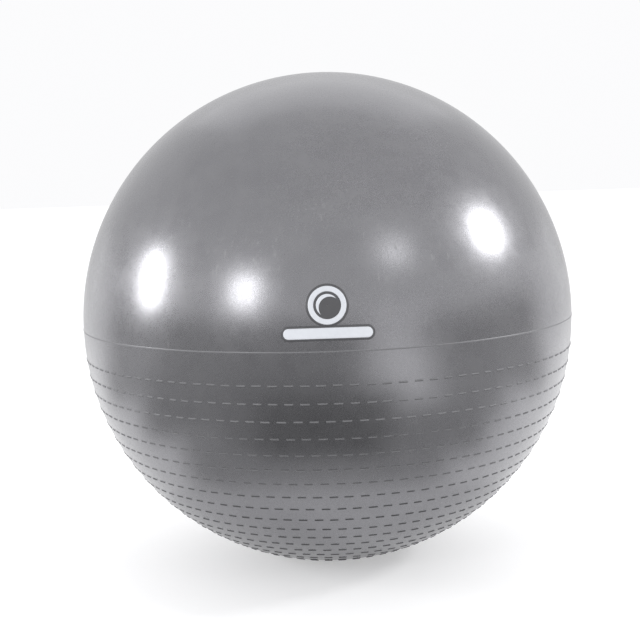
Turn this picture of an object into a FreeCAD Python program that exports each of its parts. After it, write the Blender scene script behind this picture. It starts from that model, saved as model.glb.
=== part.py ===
import FreeCAD, Part

import math
import os

import Sketcher

# Exercise ball: a hollow moulded PVC skin with a flush air valve at its top pole.
# Row frame: +Z up, origin in the middle of the patch that rests on the floor, the emblem faces -Y.
# The lower half carries rows of short moulded grip ribs, the upper half is smooth.

DRIVING = {
    # ball and skin, mm
    "ball_diameter": 650.0,
    "skin_thickness": 0.9,
    "floor_patch_diameter": 68.0,
    # parting line of the two mould halves, a fine raised bead round the equator
    "seam_bead_diameter": 1.4,
    "seam_bead_proud": 0.4,
    # grip ribs: rows are counted down from the equator, angles in degrees
    "rib_length": 10.5,
    "rib_width": 2.2,
    "rib_proud": 0.9,
    "rib_root": 0.4,
    "rib_draft": 0.3,
    "rib_pitch": 18.6,
    "rib_row_count": 19.0,
    "rib_first_row_angle": 6.8,
    "rib_row_step_angle": 3.83,
    # recess round the valve
    "recess_mouth_diameter": 28.0,
    "recess_floor_diameter": 25.0,
    "recess_depth": 3.4,
    "recess_wall": 1.5,
    "recess_lip_radius": 1.2,
    # valve seat, bonded under the recess
    "seat_sleeve_diameter": 14.0,
    "seat_tip_diameter": 12.4,
    "seat_bore_diameter": 8.6,
    "seat_flange_diameter": 26.0,
    "seat_flange_thickness": 2.0,
    "seat_length": 22.0,
    "seat_root_radius": 1.2,
    # valve plug
    "plug_head_diameter": 19.0,
    "plug_head_thickness": 2.2,
    "plug_head_radius": 0.7,
    "plug_head_gap": 0.05,
    "plug_barb_diameter": 8.5,
    "plug_stem_diameter": 7.4,
    "plug_tip_diameter": 5.6,
    "plug_barb_pitch": 4.5,
    "plug_barb_height": 1.6,
    "plug_stem_length": 20.0,
    "plug_core_diameter": 3.4,
    "plug_core_depth": 16.0,
    "plug_notch_width": 6.0,
    "plug_notch_reach": 1.8,
    "plug_notch_depth": 1.1,
    # printed emblem: a ring over a bar, on a darker keyline
    "emblem_latitude": 7.8,
    "ink_thickness": 0.12,
    "ring_outer_diameter": 43.0,
    "ring_line": 6.0,
    "crescent_reach": 3.0,
    "bar_length": 100.0,
    "bar_height": 12.0,
    "ring_bar_gap": 3.5,
    "keyline": 2.6,
}
BARB_COUNT = 3

# Heights that several parts share, as spreadsheet expressions.
CENTRE = "sqrt((Sheet.ball_diameter / 2)^2 - (Sheet.floor_patch_diameter / 2)^2)"
RECESS_FLOOR = f"({CENTRE} + Sheet.ball_diameter / 2 - Sheet.recess_depth)"
HEAD_BOTTOM = f"({RECESS_FLOOR} + Sheet.plug_head_gap)"
HEAD_TOP = f"({HEAD_BOTTOM} + Sheet.plug_head_thickness)"
PLUG_TIP = f"({HEAD_BOTTOM} - Sheet.plug_stem_length)"

doc = FreeCAD.newDocument("exercise_ball")
sheet = doc.addObject("Spreadsheet::Sheet", "Sheet")
for row, (alias, number) in enumerate(DRIVING.items(), start=1):
    sheet.set(f"A{row}", alias)
    sheet.set(f"B{row}", str(number))
    sheet.setAlias(f"B{row}", alias)
doc.recompute()


def value(expression):
    """The number that a spreadsheet expression gives now."""
    found = sheet.evalExpression(str(expression).replace("Sheet.", ""))
    return float(getattr(found, "Value", found))


# ---------------------------------------------------------------- drawing helpers


def new_body(label):
    body = doc.addObject("PartDesign::Body", label)
    body.Label = label
    return body


def origin_plane(body, role):
    return next(f for f in body.Origin.OriginFeatures if f.Role == role)


def new_sketch(body, label, role="XZ_Plane"):
    sketch = body.newObject("Sketcher::SketchObject", label)
    sketch.AttachmentSupport = (origin_plane(body, role), [""])
    sketch.MapMode = "FlatFace"
    return sketch


def bind(sketch, name, constraint, expression):
    """Adds a dimension to the sketch and ties it to the spreadsheet."""
    sketch.renameConstraint(sketch.addConstraint(constraint), name)
    sketch.setExpression(f"Constraints.{name}", expression)


def pin(sketch, geometry, end, name, x=None, z=None):
    """Ties one end of a line or arc to the origin by x, z or both, where "0" puts it on the axis."""
    for letter, kind, axis, expression in (("x", "DistanceX", -2, x), ("z", "DistanceY", -1, z)):
        if expression == "0":
            sketch.addConstraint(Sketcher.Constraint("PointOnObject", geometry, end, axis))
        elif expression is not None:
            length = value(expression)
            bind(sketch, f"{name}_{letter}", Sketcher.Constraint(kind, -1, 1, geometry, end, length), expression)


def polygon(sketch, corners):
    """A closed outline of straight lines whose corners are (x, z) expressions."""
    points = [FreeCAD.Vector(value(x), value(z), 0) for x, z in corners]
    for start, stop in zip(points, points[1:] + points[:1]):
        sketch.addGeometry(Part.LineSegment(start, stop), False)
    for i, (x, z) in enumerate(corners):
        sketch.addConstraint(Sketcher.Constraint("Coincident", i - 1 if i else len(corners) - 1, 2, i, 1))
        pin(sketch, i, 1, f"corner_{i}", x, z)


def revolve(body, sketch, label):
    solid = body.newObject("PartDesign::Revolution", label)
    solid.Profile = sketch
    solid.ReferenceAxis = (sketch, ["V_Axis"])
    solid.Angle = 360.0
    doc.recompute()
    return solid


def fillet_circles(body, base, label, circles, radius_alias):
    """Rounds the base's circular edges that lie at the given (radius, height) pairs."""
    names = []
    for i, edge in enumerate(base.Shape.Edges, start=1):
        curve = edge.Curve
        if not isinstance(curve, Part.Circle):
            continue
        for radius, height in circles:
            if abs(curve.Radius - radius) < 1e-3 and abs(curve.Center.z - height) < 1e-3:
                names.append(f"Edge{i}")
    assert len(names) >= len(circles), f"{label}: an edge to round is missing"
    fillet = body.newObject("PartDesign::Fillet", label)
    fillet.Base = (base, names)
    fillet.setExpression("Radius", f"Sheet.{radius_alias}")
    doc.recompute()
    return fillet


# ---------------------------------------------------------------- ball skin


def skin_blank():
    """The skin without its ribs: one section turned about Z, with the floor patch and the valve's recess."""
    body = new_body("skin_blank")
    sketch = new_sketch(body, "skin_section")
    ball_r, skin, wall = "Sheet.ball_diameter / 2", "Sheet.skin_thickness", "Sheet.recess_wall"
    patch_r, mouth_r = "Sheet.floor_patch_diameter / 2", "Sheet.recess_mouth_diameter / 2"
    floor_r, hole_r = "Sheet.recess_floor_diameter / 2", "Sheet.seat_sleeve_diameter / 2"
    inner_r = f"({ball_r} - {skin})"
    centre, floor_z = value(CENTRE), value(RECESS_FLOOR)

    def on_sphere(radius, x):
        return FreeCAD.Vector(x, centre + math.sqrt(radius**2 - x**2), 0)

    outer, inner, thick = value(ball_r), value(inner_r), value(skin)
    mouth, under = value(mouth_r), value(floor_r) + value(wall)
    inner_patch = math.sqrt(inner**2 - (centre - thick) ** 2)
    corners = [
        FreeCAD.Vector(0, 0, 0),
        FreeCAD.Vector(value(patch_r), 0, 0),
        on_sphere(outer, mouth),
        FreeCAD.Vector(value(floor_r), floor_z, 0),
        FreeCAD.Vector(value(hole_r), floor_z, 0),
        FreeCAD.Vector(value(hole_r), floor_z - value(wall), 0),
        FreeCAD.Vector(under, floor_z - value(wall), 0),
        on_sphere(inner, mouth + value(wall)),
        FreeCAD.Vector(inner_patch, thick, 0),
        FreeCAD.Vector(0, thick, 0),
    ]
    middle = FreeCAD.Vector(0, centre, 0)
    arcs = {1: outer, 7: inner}
    for i, start in enumerate(corners):
        stop = corners[(i + 1) % len(corners)]
        if i in arcs:
            low, high = sorted(math.atan2(p.y - centre, p.x) for p in (start, stop))
            circle = Part.Circle(middle, FreeCAD.Vector(0, 0, 1), arcs[i])
            sketch.addGeometry(Part.ArcOfCircle(circle, low, high), False)
        else:
            sketch.addGeometry(Part.LineSegment(start, stop), False)
    # The outer arc runs from the patch up to the mouth, the inner arc is drawn the same way round.
    ends = {i: (1, 2) for i in range(len(corners))}
    ends[7] = (2, 1)
    for i in range(len(corners)):
        following = (i + 1) % len(corners)
        sketch.addConstraint(Sketcher.Constraint("Coincident", i, ends[i][1], following, ends[following][0]))
    pin(sketch, 0, 1, "axis_foot", "0", "0")
    pin(sketch, 0, 2, "patch", patch_r, "0")
    pin(sketch, 1, 3, "centre", "0")
    bind(sketch, "outer_radius", Sketcher.Constraint("Radius", 1, outer), ball_r)
    pin(sketch, 1, 2, "mouth", mouth_r)
    pin(sketch, 3, 1, "floor", floor_r, RECESS_FLOOR)
    pin(sketch, 4, 1, "hole", hole_r)
    sketch.addConstraint(Sketcher.Constraint("Horizontal", 3))
    sketch.addConstraint(Sketcher.Constraint("Vertical", 4))
    pin(sketch, 6, 1, "under", f"{floor_r} + {wall}", f"{RECESS_FLOOR} - {wall}")
    sketch.addConstraint(Sketcher.Constraint("Horizontal", 5))
    pin(sketch, 6, 2, "inner_top", f"{mouth_r} + {wall}")
    sketch.addConstraint(Sketcher.Constraint("Coincident", 1, 3, 7, 3))
    bind(sketch, "inner_radius", Sketcher.Constraint("Radius", 7, inner), inner_r)
    pin(sketch, 8, 1, "inner_patch", None, skin)
    sketch.addConstraint(Sketcher.Constraint("Horizontal", 8))
    pin(sketch, 8, 2, "axis_top", "0")
    doc.recompute()
    turned = revolve(body, sketch, "skin_turned")
    mouth_height = on_sphere(outer, mouth).y
    fillet_circles(body, turned, "recess_lip", [(mouth, mouth_height)], "recess_lip_radius")
    return body


def seam_bead():
    bead = doc.addObject("Part::Torus", "seam_bead")
    bead.setExpression("Radius2", "Sheet.seam_bead_diameter / 2")
    bead.setExpression("Radius1", "Sheet.ball_diameter / 2 + Sheet.seam_bead_proud - Sheet.seam_bead_diameter / 2")
    bead.setExpression("Placement.Base.z", CENTRE)
    return bead


def rib_shape():
    """One rib with drafted sides: X along its row, Y outwards, Z along the meridian, Y = 0 on the skin's surface."""
    length, width = value("rib_length") / 2, value("rib_width") / 2
    proud, root, draft = value("rib_proud"), value("rib_root"), value("rib_draft")
    crest_length, crest_width = length - draft, width - draft
    return Part.makeWedge(
        -length, -root, -width, -crest_width, -crest_length, length, proud, width, crest_width, crest_length
    )


def grip_ribs():
    """Every rib of the lower half. Each row holds as many as its circumference takes at the rib pitch, and
    every second row starts half a pitch round."""
    radius, centre = value("ball_diameter") / 2, value(CENTRE)
    upright = FreeCAD.Vector(0, 0, 1)
    onto_skin = FreeCAD.Placement(FreeCAD.Vector(0, radius, 0), FreeCAD.Rotation())
    one = rib_shape()
    ribs = []
    for row in range(int(value("rib_row_count"))):
        below = value("rib_first_row_angle") + row * value("rib_row_step_angle")
        around = 2 * math.pi * radius * math.cos(math.radians(below))
        count = round(around / value("rib_pitch"))
        lowered = FreeCAD.Placement(FreeCAD.Vector(), FreeCAD.Rotation(FreeCAD.Vector(1, 0, 0), -below))
        for i in range(count):
            turn = 360.0 * (i + 0.5 * (row % 2)) / count
            turned = FreeCAD.Placement(FreeCAD.Vector(0, 0, centre), FreeCAD.Rotation(upright, turn))
            rib = one.copy()
            rib.Placement = turned * lowered * onto_skin
            ribs.append(rib)
    feature = doc.addObject("Part::Feature", "grip_ribs")
    feature.Shape = Part.makeCompound(ribs)
    return feature


def ball_skin():
    skin = doc.addObject("Part::MultiFuse", "ball_skin")
    skin.Shapes = [skin_blank(), seam_bead(), grip_ribs()]
    skin.Refine = False
    return skin


# ---------------------------------------------------------------- valve


def valve_seat():
    """The bonded insert: a sleeve through the recess floor, with a flange against its underside."""
    body = new_body("valve_seat")
    sketch = new_sketch(body, "seat_section")
    bore, sleeve = "Sheet.seat_bore_diameter / 2", "Sheet.seat_sleeve_diameter / 2"
    flange, tip = "Sheet.seat_flange_diameter / 2", "Sheet.seat_tip_diameter / 2"
    under = f"({RECESS_FLOOR} - Sheet.recess_wall)"
    flange_low = f"({under} - Sheet.seat_flange_thickness)"
    end = f"({RECESS_FLOOR} - Sheet.seat_length)"
    outline = [
        (bore, RECESS_FLOOR),
        (sleeve, RECESS_FLOOR),
        (sleeve, under),
        (flange, under),
        (flange, flange_low),
        (sleeve, flange_low),
        (tip, end),
        (bore, end),
    ]
    polygon(sketch, outline)
    turned = revolve(body, sketch, "seat_turned")
    root = [(value(sleeve), value(flange_low))]
    fillet_circles(body, turned, "flange_root", root, "seat_root_radius")
    return body


def valve_plug():
    """The push-in plug: a flat head with a pry notch, and a hollow stem with barbs."""
    body = new_body("valve_plug")
    sketch = new_sketch(body, "plug_section")
    head, stem = "Sheet.plug_head_diameter / 2", "Sheet.plug_stem_diameter / 2"
    barb, tip = "Sheet.plug_barb_diameter / 2", "Sheet.plug_tip_diameter / 2"
    core = "Sheet.plug_core_diameter / 2"
    core_top = f"({PLUG_TIP} + Sheet.plug_core_depth)"
    outline = [("0", HEAD_TOP), (head, HEAD_TOP), (head, HEAD_BOTTOM), (stem, HEAD_BOTTOM)]
    for k in range(1, BARB_COUNT + 1):
        crest = f"({HEAD_BOTTOM} - {k} * Sheet.plug_barb_pitch)"
        outline += [(stem, crest), (barb, crest), (stem, f"({crest} - Sheet.plug_barb_height)")]
    outline += [(tip, PLUG_TIP), (core, PLUG_TIP), (core, core_top), ("0", core_top)]
    polygon(sketch, outline)
    turned = revolve(body, sketch, "plug_turned")
    rim = [(value(head), value(HEAD_TOP))]
    fillet_circles(body, turned, "head_rim", rim, "plug_head_radius")

    notch = new_sketch(body, "notch_outline", "XY_Plane")
    notch.setExpression(".AttachmentOffset.Base.z", HEAD_TOP)
    side = "Sheet.plug_notch_width / 2"
    inner = f"{head} - Sheet.plug_notch_reach"
    outer = f"{head} + Sheet.plug_notch_reach"  # past the rim, so that the notch is open at the edge
    corners = [(inner, side), (outer, side), (outer, f"-{side}"), (inner, f"-{side}")]
    polygon(notch, corners)
    pocket = body.newObject("PartDesign::Pocket", "pry_notch")
    pocket.Profile = notch
    pocket.setExpression("Length", "Sheet.plug_notch_depth")
    doc.recompute()
    return body


# ---------------------------------------------------------------- emblem


def cutter(label, diameter, up="0", across="0"):
    """A round bar along the emblem's own outward axis. up and across place it on the emblem's face."""
    bar = doc.addObject("Part::Cylinder", label)
    bar.setExpression("Radius", f"({diameter}) / 2")
    bar.setExpression("Height", "Sheet.ball_diameter")
    return aim(bar, f"({up})", f"({across})")


def aim(tool, up, across):
    """Turns a tool whose own Z is its depth so that it points out of the ball through the emblem's middle."""
    tilt = "Sheet.emblem_latitude"
    tool.Placement.Rotation = FreeCAD.Rotation(FreeCAD.Vector(1, 0, 0), 90 - value(tilt))
    tool.setExpression("Placement.Rotation.Angle", f"(90 - {tilt}) * 1deg")
    tool.setExpression("Placement.Base.x", across)
    tool.setExpression("Placement.Base.y", f"sin({tilt} * 1deg) * {up}")
    tool.setExpression("Placement.Base.z", f"{CENTRE} + cos({tilt} * 1deg) * {up}")
    return tool


def slot(label, length, height, up):
    """A bar with round ends, as two round cutters joined by a box."""
    half = f"(({length}) - ({height})) / 2"
    ends = [
        cutter(f"{label}_left", height, up, f"-{half}"),
        cutter(f"{label}_right", height, up, half),
    ]
    box = doc.addObject("Part::Box", f"{label}_middle")
    box.setExpression("Length", f"2 * {half}")
    box.setExpression("Width", height)
    box.setExpression("Height", "Sheet.ball_diameter")
    aim(box, f"(({up}) - ({height}) / 2)", f"-{half}")
    return join("Part::MultiFuse", label, ends + [box])


def join(kind, label, shapes):
    made = doc.addObject(kind, label)
    made.Shapes = shapes
    return made


def cut(label, base, tool):
    made = doc.addObject("Part::Cut", label)
    made.Base, made.Tool = base, tool
    return made


def film(label, layer):
    """A layer of ink all round the ball. Layer 0 lies on the skin, layer 1 on layer 0."""
    shells = []
    for name, thicknesses in (("outside", layer + 1), ("inside", layer)):
        ball = doc.addObject("Part::Sphere", f"{label}_{name}")
        ball.setExpression("Radius", f"Sheet.ball_diameter / 2 + {thicknesses} * Sheet.ink_thickness")
        ball.setExpression("Placement.Base.z", CENTRE)
        shells.append(ball)
    return cut(f"{label}_film", *shells)


def emblem():
    """The printed mark, a ring with a crescent inside it over a round-ended bar, and the darker keyline
    that it is printed on."""
    outer, line = "Sheet.ring_outer_diameter", "Sheet.ring_line"
    inner = f"{outer} - 2 * {line}"
    bar_height, gap, edge = "Sheet.bar_height", "Sheet.ring_bar_gap", "Sheet.keyline"
    total = f"({outer} + {gap} + {bar_height})"
    ring_up = f"({total} - {outer}) / 2"
    bar_up = f"-({total} - {bar_height}) / 2"
    backing = join(
        "Part::MultiFuse",
        "keyline_outline",
        [
            cutter("keyline_disc", f"{outer} + 2 * {edge}", ring_up),
            slot("keyline_bar", f"Sheet.bar_length + 2 * {edge}", f"{bar_height} + 2 * {edge}", bar_up),
        ],
    )
    ring = cut("ring", cutter("ring_disc", outer, ring_up), cutter("ring_hole", inner, ring_up))
    glint_size = f"({inner} - 2 * Sheet.crescent_reach)"
    glint = cut(
        "crescent",
        cutter("crescent_disc", glint_size, ring_up),
        cutter(
            "crescent_bite",
            glint_size,
            f"{ring_up} - Sheet.crescent_reach",
            "Sheet.crescent_reach",
        ),
    )
    bar = slot("bar", "Sheet.bar_length", bar_height, bar_up)
    pieces = [ring, glint, bar]
    printed = [
        join("Part::MultiCommon", f"printed_{p.Name}", [p, film(f"{p.Name}_ink", 1)]) for p in pieces
    ]
    keyline = join("Part::MultiCommon", "emblem_keyline", [backing, film("keyline_ink", 0)])
    mark = doc.addObject("Part::Compound", "emblem_print")
    mark.Links = printed
    return keyline, mark


# ---------------------------------------------------------------- build and write

nodes = [ball_skin(), valve_seat(), valve_plug(), *emblem()]
doc.recompute()
for thing in doc.Objects:
    assert "Invalid" not in thing.State and "Error" not in thing.State, f"{thing.Label} failed"
os.makedirs("parts", exist_ok=True)
for node in nodes:
    shape = node.Shape
    assert not shape.isNull() and shape.isValid(), f"{node.Label} has no valid shape"
    shape.exportStep(f"parts/{node.Label}.step")
    print(node.Label, len(shape.Solids), "solids", round(shape.Volume), "mm3", shape.BoundBox)
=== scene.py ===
"""Looks of the exercise ball: a moulded PVC skin with grip ribs and a parting line, a printed emblem,
and a push-in valve plug in its seat. Metres, +Z up, the emblem faces -Y."""

import math
import random

import bpy
from mathutils import Matrix, Vector


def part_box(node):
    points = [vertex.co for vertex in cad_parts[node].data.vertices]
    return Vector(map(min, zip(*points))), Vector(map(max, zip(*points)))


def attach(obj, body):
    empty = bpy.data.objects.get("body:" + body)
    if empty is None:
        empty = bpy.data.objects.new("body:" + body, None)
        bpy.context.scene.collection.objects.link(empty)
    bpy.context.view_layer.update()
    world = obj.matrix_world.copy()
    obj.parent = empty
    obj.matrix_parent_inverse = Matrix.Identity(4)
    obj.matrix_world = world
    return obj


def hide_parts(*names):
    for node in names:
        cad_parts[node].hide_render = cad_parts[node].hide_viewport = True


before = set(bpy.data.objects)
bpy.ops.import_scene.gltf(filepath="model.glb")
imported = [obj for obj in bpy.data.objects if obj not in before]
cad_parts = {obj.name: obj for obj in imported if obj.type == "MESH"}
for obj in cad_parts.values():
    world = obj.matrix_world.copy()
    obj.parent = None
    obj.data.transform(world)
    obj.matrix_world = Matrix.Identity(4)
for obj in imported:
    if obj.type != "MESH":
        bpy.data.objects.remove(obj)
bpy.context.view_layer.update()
random.seed(65)

MM = 0.001

# ---------------------------------------------------------------- sizes taken from the frame

KEYLINE_NODE, PRINT_NODE = "emblem_keyline", "emblem_print"
skin_low, skin_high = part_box("ball_skin")
seat_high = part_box("valve_seat")[1]

SEAM_PROUD = 0.4 * MM
BALL_R = (skin_high[0] - skin_low[0]) / 2 - SEAM_PROUD
PATCH_R = 34.0 * MM
CENTRE_Z = math.sqrt(BALL_R**2 - PATCH_R**2)
CENTRE = Vector((0, 0, CENTRE_Z))
SKIN = 0.9 * MM

# grip ribs, laid out as on the CAD skin
ROWS = 19
FIRST_ROW = math.radians(6.8)
ROW_STEP = math.radians(3.83)
RIB_PITCH = 18.6 * MM
RIB_HALF_LENGTH = 5.4 * MM
RIB_HALF_WIDTH = 1.25 * MM
RIB_PROUD = 0.8 * MM

# painted shade on the ribs: the first rows are dark along their lower foot and the rest along their upper
# foot, and from a set row down the painted shade covers more and more of each rib
SHADED_BELOW_ROWS = 3
PAINTED_SHADE_FROM_ROW = 6
PAINTED_SHADE_OVER_ROWS = 2.5

# parting line, from its lower foot to its upper foot: (mm off the equator, share of full height, lean)
SEAM_BEAD = [(-1.0, 0.0, 0.0), (-0.6, 0.6, -0.6), (0.0, 1.0, 0.0), (0.6, 0.6, 0.6), (1.0, 0.0, 0.0)]

# points round a ring of the skin
SEAM_POINTS = 360
WIDE_POINTS = 256
MIDDLE_POINTS = 192
LOW_POINTS = 160
POLE_POINTS = 128
INNER_POINTS = 96
POLE_LATITUDE = 1.2
POLE_ROW = 12

# valve recess
RECESS_FLOOR = seat_high[2]
RECESS_MOUTH_R = 14.0 * MM
RECESS_FLOOR_R = 12.5 * MM
RECESS_WALL = 1.5 * MM
LIP = 1.2 * MM
HOLE_R = 7.0 * MM

# printed emblem
EMBLEM_LATITUDE = math.radians(7.8)
INK = 0.12 * MM
RING_R = 21.5 * MM
RING_LINE = 6.0 * MM
CRESCENT_REACH = 3.0 * MM
BAR_HALF = 50.0 * MM
BAR_HEIGHT = 12.0 * MM
RING_BAR_GAP = 3.5 * MM
KEYLINE = 2.6 * MM


# ---------------------------------------------------------------- meshes


def new_object(name, vertices, faces, normals=None):
    """A smooth-shaded mesh object, with the true normals of its surface if they are given."""
    mesh = bpy.data.meshes.new(name)
    mesh.from_pydata([tuple(v) for v in vertices], [], faces)
    mesh.update()
    for polygon in mesh.polygons:
        polygon.use_smooth = True
    if normals:
        mesh.normals_split_custom_set_from_vertices([tuple(n) for n in normals])
    obj = bpy.data.objects.new(name, mesh)
    bpy.context.scene.collection.objects.link(obj)
    return obj


class RingMesh:
    """A closed surface made of rings stacked from one pole to the other. Neighbouring rings may have
    different numbers of points, and are stitched by their angle round the Z axis."""

    def __init__(self):
        self.vertices, self.normals, self.faces = [], [], []
        self.marks = {"rib": {}, "painted_shade": {}}
        self.last = None

    def add(self, ring):
        """ring is a list of (angle, point, normal), in order of angle. One point makes a pole."""
        start = len(self.vertices)
        self.vertices += [p for _, p, _ in ring]
        self.normals += [n for _, _, n in ring]
        new = [(angle, start + i) for i, (angle, _, _) in enumerate(ring)]
        if self.last:
            self._stitch(self.last, new)
        self.last = new

    def _stitch(self, low, high):
        turn = 2 * math.pi
        if len(low) == 1 or len(high) == 1:
            pole, ring = (low, high) if len(low) == 1 else (high, low)
            for i in range(len(ring)):
                a, b = ring[i][1], ring[(i + 1) % len(ring)][1]
                apex = pole[0][1]
                self.faces.append((apex, b, a) if pole is low else (apex, a, b))
            return
        i = j = 0
        while i < len(low) or j < len(high):
            a, b = low[i % len(low)][1], high[j % len(high)][1]
            next_low = low[(i + 1) % len(low)][0] + turn * ((i + 1) // len(low))
            next_high = high[(j + 1) % len(high)][0] + turn * ((j + 1) // len(high))
            paired = len(low) == len(high) and abs(next_low - next_high) < 1e-6
            if paired and i < len(low) and j < len(high):
                self.faces.append((a, low[(i + 1) % len(low)][1], high[(j + 1) % len(high)][1], b))
                i, j = i + 1, j + 1
            elif j >= len(high) or (i < len(low) and next_low <= next_high):
                self.faces.append((a, low[(i + 1) % len(low)][1], b))
                i += 1
            else:
                self.faces.append((a, high[(j + 1) % len(high)][1], b))
                j += 1

    def mark(self, name, shares):
        """Marks each point of the last ring with a share from 0 to 1 that the material reads."""
        self.marks[name].update((index, share) for (_, index), share in zip(self.last, shares))

    def build(self, name):
        obj = new_object(name, self.vertices, self.faces, self.normals)
        for attribute, shares in self.marks.items():
            layer = obj.data.attributes.new(attribute, "FLOAT", "POINT")
            for index, share in shares.items():
                layer.data[index].value = share
        return obj


def even_angles(count):
    return [2 * math.pi * i / count for i in range(count)]


def direction(angle, slope):
    """Unit vector at an angle round Z and a slope above the horizon."""
    level = math.cos(slope)
    return Vector((level * math.cos(angle), level * math.sin(angle), math.sin(slope)))


def sphere_ring(latitude, radius, count, inward=False, lean=0.0):
    """A ring on a sphere about the ball's centre. lean tilts its normals up, for a raised line."""
    ring = []
    for angle in even_angles(count):
        out = direction(angle, latitude)
        normal = direction(angle, latitude + lean)
        ring.append((angle, CENTRE + radius * out, -normal if inward else normal))
    return ring


def level_ring(radius, height, slope, count):
    """A ring of that radius and height whose normals stand at that slope above the horizon."""
    middle = Vector((0, 0, height))
    return [
        (angle, middle + radius * direction(angle, 0), direction(angle, slope))
        for angle in even_angles(count)
    ]


# A rib's rounded section from foot to crest: (how far in from the foot, share of its full height, how far
# its surface leans from the skin's)
RIB_SIDE = [(0.0, 0.0, 0.0), (0.2 * MM, 0.40, math.radians(64)), (0.62 * MM, 0.82, math.radians(40))]
RIB_END = [(0.0, 0.0, 0.0), (0.3 * MM, 0.55, math.radians(58)), (0.85 * MM, 1.0, 0.0)]


def rib_profile(half, rise, crest):
    """(offset, share of height, lean) from foot to foot. crest adds a ridge point in the middle."""
    near = [(-half + inset, height, -lean) for inset, height, lean in rise]
    far = [(-offset, height, -lean) for offset, height, lean in reversed(near)]
    return near + ([(0.0, 1.0, 0.0)] if crest else []) + far


def rib_row(mesh, row):
    """The rings of one row of grip ribs, from its lower edge to its upper edge."""
    latitude = -(FIRST_ROW + row * ROW_STEP)
    row_r = BALL_R * math.cos(latitude)
    count = round(2 * math.pi * row_r / RIB_PITCH)
    phase = math.pi / 2 + 2 * math.pi / count * (0.5 * (row % 2))
    ribs = []
    for i in range(count):
        angle = phase + 2 * math.pi * i / count + random.uniform(-0.7, 0.7) * MM / row_r
        shift, tilt = random.uniform(-0.22, 0.22) * MM, random.uniform(-0.02, 0.02)
        stretch, rise = random.uniform(0.95, 1.04), random.uniform(0.9, 1.0)
        ribs.append((angle % (2 * math.pi), stretch, rise, shift, tilt))
    ribs.sort()
    for across, height_across, lean_across in rib_profile(RIB_HALF_WIDTH, RIB_SIDE, crest=True):
        ring = []
        for angle, stretch, rise, shift, tilt in ribs:
            for along, height_along, lean_along in rib_profile(RIB_HALF_LENGTH, RIB_END, crest=False):
                turn = angle + along * stretch / row_r
                climb = latitude + (across + shift + tilt * along) / BALL_R
                out = direction(turn, climb)
                east = Vector((-math.sin(turn), math.cos(turn), 0))
                north = out.cross(east)
                normal = out + math.tan(lean_across) * height_along * north
                normal += math.tan(lean_along) * height_across * east
                radius = BALL_R + RIB_PROUD * rise * height_across * height_along
                matt = min(1, 2 * height_across * height_along)
                side = across / RIB_HALF_WIDTH
                # painted shade: a dark band along one foot of each rib, spreading over the rib row by row
                # towards the bottom
                foot = 2.0 * (-side if row < SHADED_BELOW_ROWS else side) - 0.5
                painted_shade = max((row - PAINTED_SHADE_FROM_ROW) / PAINTED_SHADE_OVER_ROWS + side, foot)
                painted_shade = min(max(painted_shade, 0), 1)
                ring.append((turn, CENTRE + radius * out, normal.normalized(), matt, painted_shade))
        ring.sort(key=lambda entry: entry[0])
        mesh.add([entry[:3] for entry in ring])
        mesh.mark("rib", [entry[3] for entry in ring])
        mesh.mark("painted_shade", [entry[4] for entry in ring])


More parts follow.
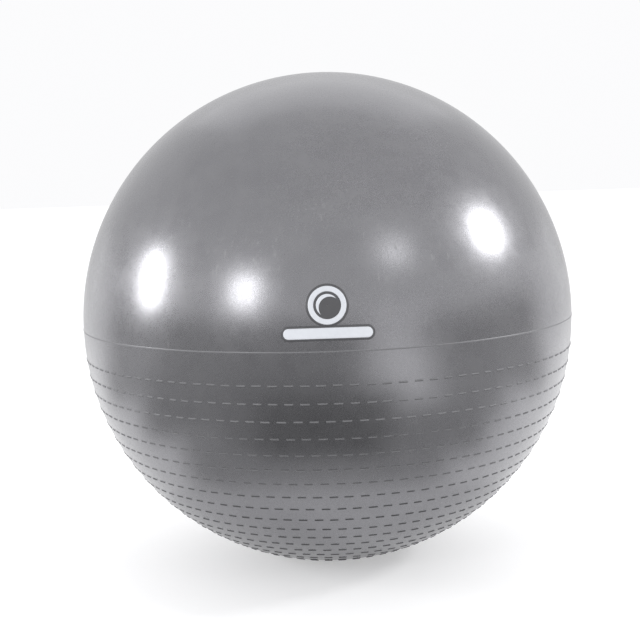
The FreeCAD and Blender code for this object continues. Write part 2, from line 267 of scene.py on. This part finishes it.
def ball_skin():
    """The whole skin: floor patch, ribbed half, parting line, smooth half, recess, and the inside."""
    mesh = RingMesh()
    down = Vector((0, 0, -1))
    mesh.add([(0, Vector((0, 0, 0)), down)])
    patch_slope = -math.acos(PATCH_R / BALL_R)
    mesh.add(level_ring(PATCH_R * 0.97, 0, -math.pi / 2, POLE_POINTS))
    mesh.add(level_ring(PATCH_R * 1.01, 0.03 * MM, (patch_slope - math.pi / 2) / 2, POLE_POINTS))

    last_row = -(FIRST_ROW + (ROWS - 1) * ROW_STEP)
    bottom = patch_slope + math.radians(0.4)
    steps = 6
    for i in range(steps):
        latitude = bottom + (last_row - ROW_STEP / 2 - bottom) * i / (steps - 1)
        mesh.add(sphere_ring(latitude, BALL_R, LOW_POINTS))
    for row in reversed(range(ROWS)):
        rib_row(mesh, row)
        above = -(FIRST_ROW + row * ROW_STEP) + ROW_STEP / 2
        if row:
            mesh.add(sphere_ring(above, BALL_R, MIDDLE_POINTS if row < POLE_ROW else POLE_POINTS))
    mesh.add(sphere_ring(-FIRST_ROW * 0.6, BALL_R, WIDE_POINTS))

    for offset, rise, lean in SEAM_BEAD:
        mesh.add(sphere_ring(offset * MM / BALL_R, BALL_R + SEAM_PROUD * rise, SEAM_POINTS, lean=lean))
        mesh.mark("rib", [rise] * SEAM_POINTS)

    lip_start = math.acos((RECESS_MOUTH_R + LIP) / BALL_R)
    steps = 64
    for i in range(1, steps + 1):
        latitude = lip_start * i / steps
        mesh.add(sphere_ring(latitude, BALL_R, WIDE_POINTS if latitude < POLE_LATITUDE else POLE_POINTS))

    mouth_z = CENTRE_Z + math.sqrt(BALL_R**2 - (RECESS_MOUTH_R + LIP) ** 2)
    for turn in (30, 60, 90):
        lean = math.radians(90 - turn * 0.9)
        radius = RECESS_MOUTH_R + LIP - LIP * math.sin(math.radians(turn))
        height = mouth_z - LIP * (1 - math.cos(math.radians(turn)))
        mesh.add(level_ring(radius, height, lean, INNER_POINTS))
    inside_wall = math.radians(180 - 12)
    for radius, height, slope in (
        (RECESS_FLOOR_R + 0.5 * MM, RECESS_FLOOR + 0.9 * MM, inside_wall),
        (RECESS_FLOOR_R, RECESS_FLOOR + 0.25 * MM, math.radians(135)),
        (RECESS_FLOOR_R - 0.4 * MM, RECESS_FLOOR, math.radians(90)),
        (HOLE_R, RECESS_FLOOR, math.radians(90)),
        (HOLE_R, RECESS_FLOOR - RECESS_WALL, math.radians(180)),
        (RECESS_FLOOR_R + RECESS_WALL, RECESS_FLOOR - RECESS_WALL, math.radians(-90)),
    ):
        mesh.add(level_ring(radius, height, slope, INNER_POINTS))

    inner_r = BALL_R - SKIN
    top = math.acos((RECESS_MOUTH_R + 2 * RECESS_WALL) / inner_r)
    low = -math.acos(PATCH_R * 1.02 / inner_r)
    steps = 40
    for i in range(steps + 1):
        mesh.add(sphere_ring(top + (low - top) * i / steps, inner_r, INNER_POINTS, inward=True))
    mesh.add([(0, Vector((0, 0, SKIN)), -down)])
    return mesh.build("ball")


def film(name, grids, low, high):
    """Closed thin layers of ink between two heights over the skin. Each grid is rows of (across, up)
    points on the emblem's face, seen from outside."""
    out = direction(-math.pi / 2, EMBLEM_LATITUDE)
    right = Vector((1, 0, 0))
    up = right.cross(-out)
    vertices, faces = [], []

    def place(point, height):
        radius = BALL_R + height
        x, y = point
        return CENTRE + right * x + up * y + out * math.sqrt(radius**2 - x**2 - y**2)

    for grid, closed in grids:
        rows, columns = len(grid), len(grid[0])
        base = len(vertices)
        for height in (high, low):
            vertices += [place(p, height) for row in grid for p in row]
        under = rows * columns
        span = columns if closed else columns - 1

        def at(row, column, bottom=0):
            return base + bottom * under + row * columns + column % columns

        for r in range(rows - 1):
            for c in range(span):
                faces.append((at(r, c), at(r, c + 1), at(r + 1, c + 1), at(r + 1, c)))
                faces.append((at(r + 1, c, 1), at(r + 1, c + 1, 1), at(r, c + 1, 1), at(r, c, 1)))
        for c in range(span):
            faces.append((at(0, c), at(0, c, 1), at(0, c + 1, 1), at(0, c + 1)))
            faces.append((at(rows - 1, c + 1), at(rows - 1, c + 1, 1), at(rows - 1, c, 1), at(rows - 1, c)))
        if not closed:
            for r in range(rows - 1):
                faces.append((at(r + 1, 0), at(r + 1, 0, 1), at(r, 0, 1), at(r, 0)))
                end = columns - 1
                faces.append((at(r, end), at(r, end, 1), at(r + 1, end, 1), at(r + 1, end)))
    return new_object(name, vertices, faces)


def ring_grid(middle, inner, outer, rows=4, count=144):
    """A flat ring, or all but a disc if inner is tiny."""
    grid = []
    for i in range(rows + 1):
        radius = inner + (outer - inner) * i / rows
        grid.append([(radius * math.cos(a), middle + radius * math.sin(a)) for a in even_angles(count)])
    return grid, True


def bar_grid(middle, half_length, height, rows=6, columns=96):
    """A bar with round ends."""
    end_r = height / 2
    straight = half_length - end_r
    grid = []
    for i in range(rows + 1):
        share = 2 * i / rows - 1
        row = []
        for j in range(columns + 1):
            x = -half_length * math.cos(math.pi * j / columns)
            past = max(abs(x) - straight, 0)
            row.append((x, middle + share * math.sqrt(max(end_r**2 - past**2, (0.02 * MM) ** 2))))
        grid.append(row)
    return grid, False


def crescent_grid(middle, radius, reach, rows=4, columns=72):
    """A disc less a disc of the same size that is moved right and down by reach."""
    shift = Vector((reach, -reach))
    tip = math.acos(shift.length / 2 / radius)
    toward = math.atan2(shift.y, shift.x)
    grid = []
    for i in range(rows + 1):
        row = []
        for j in range(columns + 1):
            share = 0.004 + 0.992 * j / columns
            outer = toward + tip + share * 2 * (math.pi - tip)
            inner = toward + math.pi - tip + share * 2 * tip
            a = Vector((math.cos(outer), math.sin(outer))) * radius
            b = shift + Vector((math.cos(inner), math.sin(inner))) * radius
            p = b.lerp(a, i / rows)
            row.append((p.x, middle + p.y))
        grid.append(row)
    return grid, False


def emblem():
    """The print, a ring with a crescent in it over a bar, and the darker keyline under it."""
    total = 2 * RING_R + RING_BAR_GAP + BAR_HEIGHT
    ring_up = total / 2 - RING_R
    bar_up = -total / 2 + BAR_HEIGHT / 2
    inner = RING_R - RING_LINE
    keyline = film(
        "emblem_keyline_ink",
        [
            ring_grid(ring_up, 0.05 * MM, RING_R + KEYLINE, rows=12),
            bar_grid(bar_up, BAR_HALF + KEYLINE, BAR_HEIGHT + 2 * KEYLINE),
        ],
        0.02 * MM,
        INK,
    )
    mark = film(
        "emblem_print_ink",
        [
            ring_grid(ring_up, inner, RING_R),
            crescent_grid(ring_up, inner - CRESCENT_REACH, CRESCENT_REACH),
            bar_grid(bar_up, BAR_HALF, BAR_HEIGHT),
        ],
        INK,
        2 * INK,
    )
    return keyline, mark


# ---------------------------------------------------------------- materials


class Nodes:
    """Short calls for building a material's node tree."""

    def __init__(self, name):
        self.material = bpy.data.materials.new(name)
        self.material.use_nodes = True
        self.tree = self.material.node_tree
        self.tree.nodes.clear()
        self.place = self.new("ShaderNodeTexCoord").outputs["Object"]
        self.shader = self.new("ShaderNodeBsdfPrincipled")
        output = self.new("ShaderNodeOutputMaterial")
        self.link(self.shader.outputs["BSDF"], output.inputs["Surface"])

    def new(self, kind, **settings):
        node = self.tree.nodes.new(kind)
        for key, setting in settings.items():
            setattr(node, key, setting)
        return node

    def link(self, source, target):
        self.tree.links.new(source, target)

    def noise(self, scale, detail=4.0, roughness=0.55, stretch=None):
        node = self.new("ShaderNodeTexNoise")
        node.inputs["Scale"].default_value = scale
        node.inputs["Detail"].default_value = detail
        node.inputs["Roughness"].default_value = roughness
        source = self.place
        if stretch:
            mapping = self.new("ShaderNodeMapping")
            mapping.inputs["Scale"].default_value = stretch
            self.link(self.place, mapping.inputs["Vector"])
            source = mapping.outputs["Vector"]
        self.link(source, node.inputs["Vector"])
        return node.outputs["Fac"]

    def cells(self, scale):
        node = self.new("ShaderNodeTexVoronoi")
        node.inputs["Scale"].default_value = scale
        self.link(self.place, node.inputs["Vector"])
        return node.outputs["Distance"]

    def share(self, name):
        """A share from 0 to 1 that the mesh carries at its points."""
        return self.new("ShaderNodeAttribute", attribute_name=name).outputs["Fac"]

    def ramp(self, source, low, high, start=0.0, stop=1.0):
        """Maps low..high of source to start..stop."""
        node = self.new("ShaderNodeMapRange")
        self.link(source, node.inputs["Value"])
        for key, number in (("From Min", low), ("From Max", high), ("To Min", start), ("To Max", stop)):
            node.inputs[key].default_value = number
        return node.outputs["Result"]

    def math(self, operation, a, b):
        node = self.new("ShaderNodeMath", operation=operation)
        for socket, source in zip(node.inputs, (a, b)):
            if isinstance(source, (int, float)):
                socket.default_value = source
            else:
                self.link(source, socket)
        return node.outputs["Value"]

    def mix(self, share, a, b):
        """Colour a where share is 0 and b where it is 1."""
        node = self.new("ShaderNodeMix", data_type="RGBA")
        self.link(share, node.inputs["Factor"])
        for socket, colour in ((node.inputs["A"], a), (node.inputs["B"], b)):
            if isinstance(colour, tuple):
                socket.default_value = (*colour, 1.0)
            else:
                self.link(colour, socket)
        return node.outputs["Result"]

    def bump(self, height, distance, strength=1.0, under=None):
        node = self.new("ShaderNodeBump")
        node.inputs["Strength"].default_value = strength
        node.inputs["Distance"].default_value = distance
        self.link(height, node.inputs["Height"])
        if under:
            self.link(under, node.inputs["Normal"])
        return node.outputs["Normal"]

    def finish(self, colour, roughness, normal, **constants):
        self.link(colour, self.shader.inputs["Base Color"])
        self.link(roughness, self.shader.inputs["Roughness"])
        self.link(normal, self.shader.inputs["Normal"])
        for key, number in constants.items():
            self.shader.inputs[key.replace("_", " ")].default_value = number
        return self.material


def pvc_material():
    """Pearl grey moulded PVC: soft mottling, fine grain, stray dark specks and light scuffs."""
    n = Nodes("pearl_grey_pvc")
    mottle = n.noise(7.0, 5.0, 0.6)
    cloud = n.noise(38.0, 4.0, 0.6)
    grain = n.noise(900.0, 3.0, 0.6)
    specks = n.ramp(n.cells(150.0), 0.035, 0.075, 1.0, 0.0)
    rare = n.ramp(n.noise(90.0, 2.0), 0.60, 0.64)
    specks = n.math("MULTIPLY", specks, rare)
    scuff_area = n.ramp(n.noise(9.0, 3.0), 0.54, 0.66)
    scuff_lines = n.ramp(n.noise(260.0, 3.0, 0.7, stretch=(1.0, 1.0, 0.06)), 0.60, 0.68)
    scuffs = n.math("MULTIPLY", scuff_area, scuff_lines)

    base = n.mix(n.ramp(mottle, 0.3, 0.7), (0.215, 0.214, 0.226), (0.245, 0.244, 0.256))
    base = n.mix(n.ramp(cloud, 0.35, 0.75, 0.0, 0.35), base, (0.270, 0.268, 0.280))
    base = n.mix(n.math("MULTIPLY", scuffs, 0.35), base, (0.36, 0.36, 0.365))
    base = n.mix(n.math("MULTIPLY", specks, 0.8), base, (0.05, 0.05, 0.052))

    # the ribs and the parting line are matt, and the ribs carry painted shade, darker towards the bottom
    rib = n.share("rib")
    rib_colour_and_shade = n.mix(n.share("painted_shade"), (0.155, 0.155, 0.162), (0.022, 0.022, 0.024))
    base = n.mix(rib, base, rib_colour_and_shade)
    metal = n.ramp(rib, 0.0, 1.0, 0.86, 0.1)

    rough = n.ramp(cloud, 0.3, 0.7, 0.25, 0.30)
    rough = n.math("ADD", rough, n.math("MULTIPLY", scuffs, 0.14))
    rough = n.math("ADD", rough, n.ramp(grain, 0.3, 0.7, -0.03, 0.03))
    rough = n.math("ADD", rough, n.math("MULTIPLY", rib, 0.30))

    normal = n.bump(cloud, 0.25 * MM, 0.35)
    normal = n.bump(grain, 0.06 * MM, 0.55, normal)
    normal = n.bump(specks, 0.12 * MM, -0.6, normal)
    normal = n.bump(scuffs, 0.03 * MM, -0.5, normal)
    n.link(metal, n.shader.inputs["Metallic"])
    return n.finish(base, rough, normal, IOR=1.52)


def soft_plastic(name, dark, light, rough_low, rough_high, grain_size=1400.0):
    """Small moulded pieces: faint mottling, fine grain and handling marks."""
    n = Nodes(name)
    cloud = n.noise(180.0, 4.0, 0.6)
    grain = n.noise(grain_size, 3.0)
    marks = n.ramp(n.noise(420.0, 2.0, stretch=(1.0, 0.1, 1.0)), 0.60, 0.72)
    colour = n.mix(n.ramp(cloud, 0.35, 0.7), dark, light)
    colour = n.mix(n.math("MULTIPLY", marks, 0.25), colour, tuple(c * 0.6 for c in dark))
    rough = n.math("ADD", n.ramp(cloud, 0.3, 0.7, rough_low, rough_high), n.math("MULTIPLY", marks, 0.08))
    normal = n.bump(grain, 0.04 * MM, 0.5, n.bump(cloud, 0.1 * MM, 0.3))
    return n.finish(colour, rough, normal, IOR=1.5)


def ink(name, colour, worn, edge_wear):
    """Printed ink: slightly uneven cover, pinholes and worn spots."""
    n = Nodes(name)
    cover = n.noise(160.0, 4.0, 0.6)
    pinholes = n.ramp(n.cells(700.0), 0.06, 0.12, 1.0, 0.0)
    pinholes = n.math("MULTIPLY", pinholes, n.ramp(n.noise(260.0, 2.0), 0.56, 0.60))
    wear = n.ramp(n.noise(420.0, 5.0, 0.7), 0.66, 0.72)
    paint = n.mix(n.ramp(cover, 0.3, 0.7), tuple(c * 0.94 for c in colour), colour)
    paint = n.mix(n.math("MULTIPLY", wear, edge_wear), paint, worn)
    paint = n.mix(n.math("MULTIPLY", pinholes, 0.7), paint, worn)
    rough = n.ramp(cover, 0.3, 0.7, 0.38, 0.50)
    normal = n.bump(n.noise(1100.0, 3.0), 0.03 * MM, 0.5)
    return n.finish(paint, rough, normal, IOR=1.48)


def plain(name, colour, roughness, glow):
    """The floor's surface. glow lights it faintly from within, as a light table does."""
    n = Nodes(name)
    n.shader.inputs["Emission Color"].default_value = (1, 1, 1, 1)
    n.shader.inputs["Emission Strength"].default_value = glow
    grain = n.noise(60.0, 3.0)
    shade = n.mix(n.ramp(grain, 0.3, 0.7), tuple(c * 0.985 for c in colour), colour)
    rough = n.ramp(grain, 0.3, 0.7, roughness, roughness + 0.05)
    return n.finish(shade, rough, n.bump(grain, 0.02 * MM, 0.1))


# ---------------------------------------------------------------- the object

PVC = pvc_material()
PLUG_PLASTIC = soft_plastic("plug_plastic", (0.55, 0.55, 0.54), (0.66, 0.66, 0.65), 0.34, 0.42)
SEAT_PVC = soft_plastic("seat_pvc", (0.15, 0.15, 0.155), (0.19, 0.19, 0.195), 0.40, 0.50)
WHITE_INK = ink("white_ink", (0.64, 0.66, 0.70), (0.40, 0.41, 0.43), 0.35)
DARK_INK = ink("dark_ink", (0.075, 0.075, 0.08), (0.15, 0.15, 0.155), 0.4)


def dress(obj, body, slot, material, *replaced):
    obj.data.materials.clear()
    obj.data.materials.append(material)
    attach(obj, body)
    if replaced:
        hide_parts(*replaced)


ball = ball_skin()
keyline_ink, print_ink = emblem()
dress(ball, "ball", "skin", PVC, "ball_skin")
dress(keyline_ink, "ball", "keyline_ink", DARK_INK, KEYLINE_NODE)
dress(print_ink, "ball", "print_ink", WHITE_INK, PRINT_NODE)

for node, material in (("valve_plug", PLUG_PLASTIC), ("valve_seat", SEAT_PVC)):
    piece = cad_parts[node]
    piece.data.materials.clear()
    piece.data.materials.append(material)
    rounding = piece.modifiers.new("soft_edges", "BEVEL")
    rounding.width = 0.25 * MM
    rounding.segments = 2
    rounding.limit_method = "ANGLE"
    rounding.angle_limit = math.radians(40)
    rounding.harden_normals = True


# ---------------------------------------------------------------- stage, lights and camera


def floor():
    half = 14.0
    corners = [(-half, -half, 0), (half, -half, 0), (half, half, 0), (-half, half, 0)]
    mesh = bpy.data.meshes.new("floor")
    mesh.from_pydata(corners, [], [(0, 1, 2, 3)])
    obj = bpy.data.objects.new("floor", mesh)
    bpy.context.scene.collection.objects.link(obj)
    mesh.materials.append(plain("pale_floor", (0.72, 0.72, 0.725), 0.6, glow=0.37))


def around(azimuth, elevation, distance, middle=CENTRE):
    """The point in that direction from middle. Azimuth 0 is the camera's side, 90 is the right."""
    a, e = math.radians(azimuth), math.radians(elevation)
    return middle + distance * Vector((math.sin(a) * math.cos(e), -math.cos(a) * math.cos(e), math.sin(e)))


def softbox(name, azimuth, elevation, distance, width, height, power, lean):
    """A rectangular lamp that faces the ball."""
    spot = around(azimuth, elevation, distance)
    data = bpy.data.lights.new(name, "AREA")
    data.shape = "RECTANGLE"
    data.size, data.size_y = width, height
    data.energy = power
    lamp = bpy.data.objects.new(name, data)
    turn = (spot - CENTRE).to_track_quat("Z", "Y").to_matrix().to_4x4()
    lamp.matrix_world = Matrix.Translation(spot) @ turn @ Matrix.Rotation(lean, 4, "Z")
    lamp.visible_camera = False
    bpy.context.scene.collection.objects.link(lamp)


def card(name, points, columns, shades, glow=0.0):
    """A matt card seen only in the ball's gloss, a painted reflection of the studio's dark parts: a grid
    of points, each with its own painted shade."""
    rows = len(points) // columns
    faces = [
        (r * columns + c, r * columns + c + 1, (r + 1) * columns + c + 1, (r + 1) * columns + c)
        for r in range(rows - 1)
        for c in range(columns - 1)
    ]
    mesh = bpy.data.meshes.new(name)
    mesh.from_pydata([tuple(p) for p in points], [], faces)
    tone = mesh.attributes.new("shade", "FLOAT", "POINT")
    for entry, shade in zip(tone.data, shades):
        entry.value = shade
    obj = bpy.data.objects.new(name, mesh)
    bpy.context.scene.collection.objects.link(obj)
    n = Nodes(name)
    for socket in ("Base Color", "Emission Color"):
        n.link(n.share("shade"), n.shader.inputs[socket])
    # the glow is painted light, so that the painted reflection is as bright as the glowing floor
    n.shader.inputs["Emission Strength"].default_value = glow
    n.shader.inputs["Roughness"].default_value = 0.9
    mesh.materials.append(n.material)
    obj.visible_camera = obj.visible_shadow = obj.visible_diffuse = False


def ease(x):
    """0 up to x = 0, 1 from x = 1, and a smooth rise between."""
    x = min(max(x, 0.0), 1.0)
    return x * x * (3 - 2 * x)


def band(value, low, high, soft):
    """1 between low and high, falling smoothly to 0 over soft at each end."""
    return ease((value - low) / soft + 0.5) * ease((high - value) / soft + 0.5)


# Painted dark reflections: where the card makes the ball's gloss see the studio floor dark, tuned
# against brightness read off the photo:
# (azimuths in degrees from and to, metres from the ball's axis from and to, shade)
PAINTED_REFLECTION_PATCHES = [
    (-32, 26, 0.38, 0.95, 0.08),
    (-62, 46, 0.31, 0.60, 0.38),
    (-46, 12, 0.40, 1.3, 0.20),
    (-84, 16, 0.50, 9.0, 0.25),
    (-112, -60, 0.80, 9.0, 0.40),
    (14, 64, 0.40, 0.72, 0.28),
    (40, 74, 0.55, 9.0, 0.32),
    (52, 104, 0.80, 9.0, 0.34),
]
PATCH_SOFT_DEGREES = 18
PATCH_SOFT_REACH = 0.36
CARD_LIFT = 5 * MM
WALL_FOOT = 0.35
WALL_TOP = 1.2


def patch_shade(turn, reach, height):
    """The darkest shade that the patches give there. It fades out up the wall."""
    shade = 1.0
    for low, high, near, far, dark in PAINTED_REFLECTION_PATCHES:
        share = band(turn, low, high, PATCH_SOFT_DEGREES)
        share *= band(math.log(reach), math.log(near), math.log(far), PATCH_SOFT_REACH)
        share *= max(0.0, 1 - max(height - WALL_FOOT, 0) / (WALL_TOP - WALL_FOOT))
        shade = min(shade, 1 - share * (1 - dark))
    return shade


def painted_reflection_floor():
    """A card just over the floor that carries the painted dark reflections, with a low wall at its far
    edge.
    """
    reaches = [0.30 * 1.09**i for i in range(32)]
    turns = range(-140, 141, 5)
    rings = [(reach, CARD_LIFT) for reach in reaches]
    rings += [(reaches[-1], height) for height in (WALL_FOOT, 0.8, WALL_TOP)]
    spots = [(turn, reach, height) for reach, height in rings for turn in turns]
    points = [around(turn, 0, reach, Vector((0, 0, height))) for turn, reach, height in spots]
    card("painted_reflection_floor", points, len(turns), [patch_shade(*spot) for spot in spots], glow=0.3)


# name, azimuth, elevation, distance, width, height, power, lean. The first four are mirrored where the
# photo shows highlights, and the last lights the back from above.
SOFTBOXES = [
    ("left_strip", -84, 14.5, 2.6, 0.26, 0.70, 18, 0.25),
    ("front_left", -35.5, 16.5, 2.6, 0.40, 0.48, 8, 0.0),
    ("right_key", 85.5, 26.8, 2.6, 0.25, 0.40, 21, -0.25),
    ("front_right_fill", 33, 31, 2.8, 0.55, 0.5, 2.5, 0.0),
    ("top", 180, 52, 2.6, 2.6, 1.6, 5, 0.0),
]
OVERHEAD_CORNERS = [(-72, 82), (112, 53), (-16, 50), (62, 41)]
OVERHEAD_DISTANCE = 2.8
OVERHEAD_SHADE = 0.7


def studio():
    for box in SOFTBOXES:
        softbox(*box)
    painted_reflection_floor()
    # a grey card above the front, seen only in gloss, paints a dim reflection on the ball's upper front
    overhead_painted_reflection = [around(azimuth, elevation, OVERHEAD_DISTANCE) for azimuth, elevation in OVERHEAD_CORNERS]
    card("overhead_painted_reflection", overhead_painted_reflection, 2, [OVERHEAD_SHADE] * len(overhead_painted_reflection))
    world = bpy.data.worlds.new("studio")
    world.use_nodes = True
    world.node_tree.nodes["Background"].inputs["Color"].default_value = (0.97, 0.97, 0.98, 1)
    world.node_tree.nodes["Background"].inputs["Strength"].default_value = 1.0
    bpy.context.scene.world = world


def camera():
    """At the photograph's angle: a little above the ball's middle, with the horizon tipped slightly."""
    distance, elevation, roll = 5.5 * BALL_R, math.radians(7.05), math.radians(1.9)
    data = bpy.data.cameras.new("camera")
    data.lens, data.sensor_width = 74.28, 36.0
    data.shift_x, data.shift_y = -0.0117, -0.0062
    obj = bpy.data.objects.new("camera", data)
    away = Vector((0, -math.cos(elevation), math.sin(elevation)))
    turn = away.to_track_quat("Z", "Y").to_matrix().to_4x4()
    place = Matrix.Translation(CENTRE + distance * away)
    obj.matrix_world = place @ turn @ Matrix.Rotation(-roll, 4, "Z")
    bpy.context.scene.collection.objects.link(obj)
    bpy.context.scene.camera = obj


floor()
studio()
camera()
bpy.context.scene.view_settings.view_transform = "Standard"
